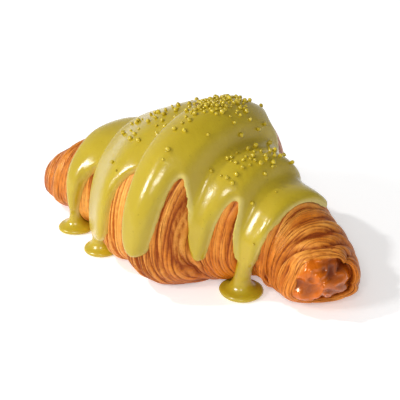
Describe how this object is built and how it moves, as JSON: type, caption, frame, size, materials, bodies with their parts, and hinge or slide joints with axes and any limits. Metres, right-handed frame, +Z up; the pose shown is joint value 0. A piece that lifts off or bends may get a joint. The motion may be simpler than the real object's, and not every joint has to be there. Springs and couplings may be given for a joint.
{
  "type": "glazed croissant",
  "caption": "Plump rolled croissant lying flat, with a poured pistachio glaze that drips to the table in round pools, and coarse golden crumbs.",
  "frame": {"origin": "on the table, in the middle of the flat underside, below the crown", "axes": "+X along the roll towards the blunt tip, -Y towards the side with the long drips, +Z up"},
  "size_m": [0.1654, 0.0962, 0.0727],
  "materials": {
    "baked_dough": "satin, flaky baked crust",
    "glaze": "glossy set glaze",
    "crumb": "satin sugar and nut crumbs"
  },
  "bodies": {
    "root": {"baked_dough": "baked_dough", "pistachio_glaze": "glaze", "crumb_01": "crumb", "crumb_02": "crumb", "crumb_03": "crumb", "crumb_04": "crumb", "crumb_05": "crumb", "crumb_06": "crumb", "crumb_07": "crumb", "crumb_08": "crumb", "crumb_09": "crumb", "crumb_10": "crumb", "crumb_11": "crumb", "crumb_12": "crumb", "crumb_13": "crumb", "crumb_14": "crumb", "crumb_15": "crumb", "crumb_16": "crumb", "crumb_17": "crumb", "crumb_18": "crumb", "crumb_19": "crumb", "crumb_20": "crumb", "crumb_21": "crumb", "crumb_22": "crumb", "crumb_23": "crumb", "crumb_24": "crumb", "crumb_25": "crumb", "crumb_26": "crumb", "crumb_27": "crumb", "crumb_28": "crumb", "crumb_29": "crumb", "crumb_30": "crumb", "crumb_31": "crumb", "crumb_32": "crumb", "crumb_33": "crumb", "crumb_34": "crumb", "crumb_35": "crumb", "crumb_36": "crumb", "crumb_37": "crumb", "crumb_38": "crumb", "crumb_39": "crumb", "crumb_40": "crumb", "crumb_41": "crumb", "crumb_42": "crumb", "crumb_43": "crumb", "crumb_44": "crumb", "crumb_45": "crumb", "crumb_46": "crumb"}
  },
  "joints": []
}
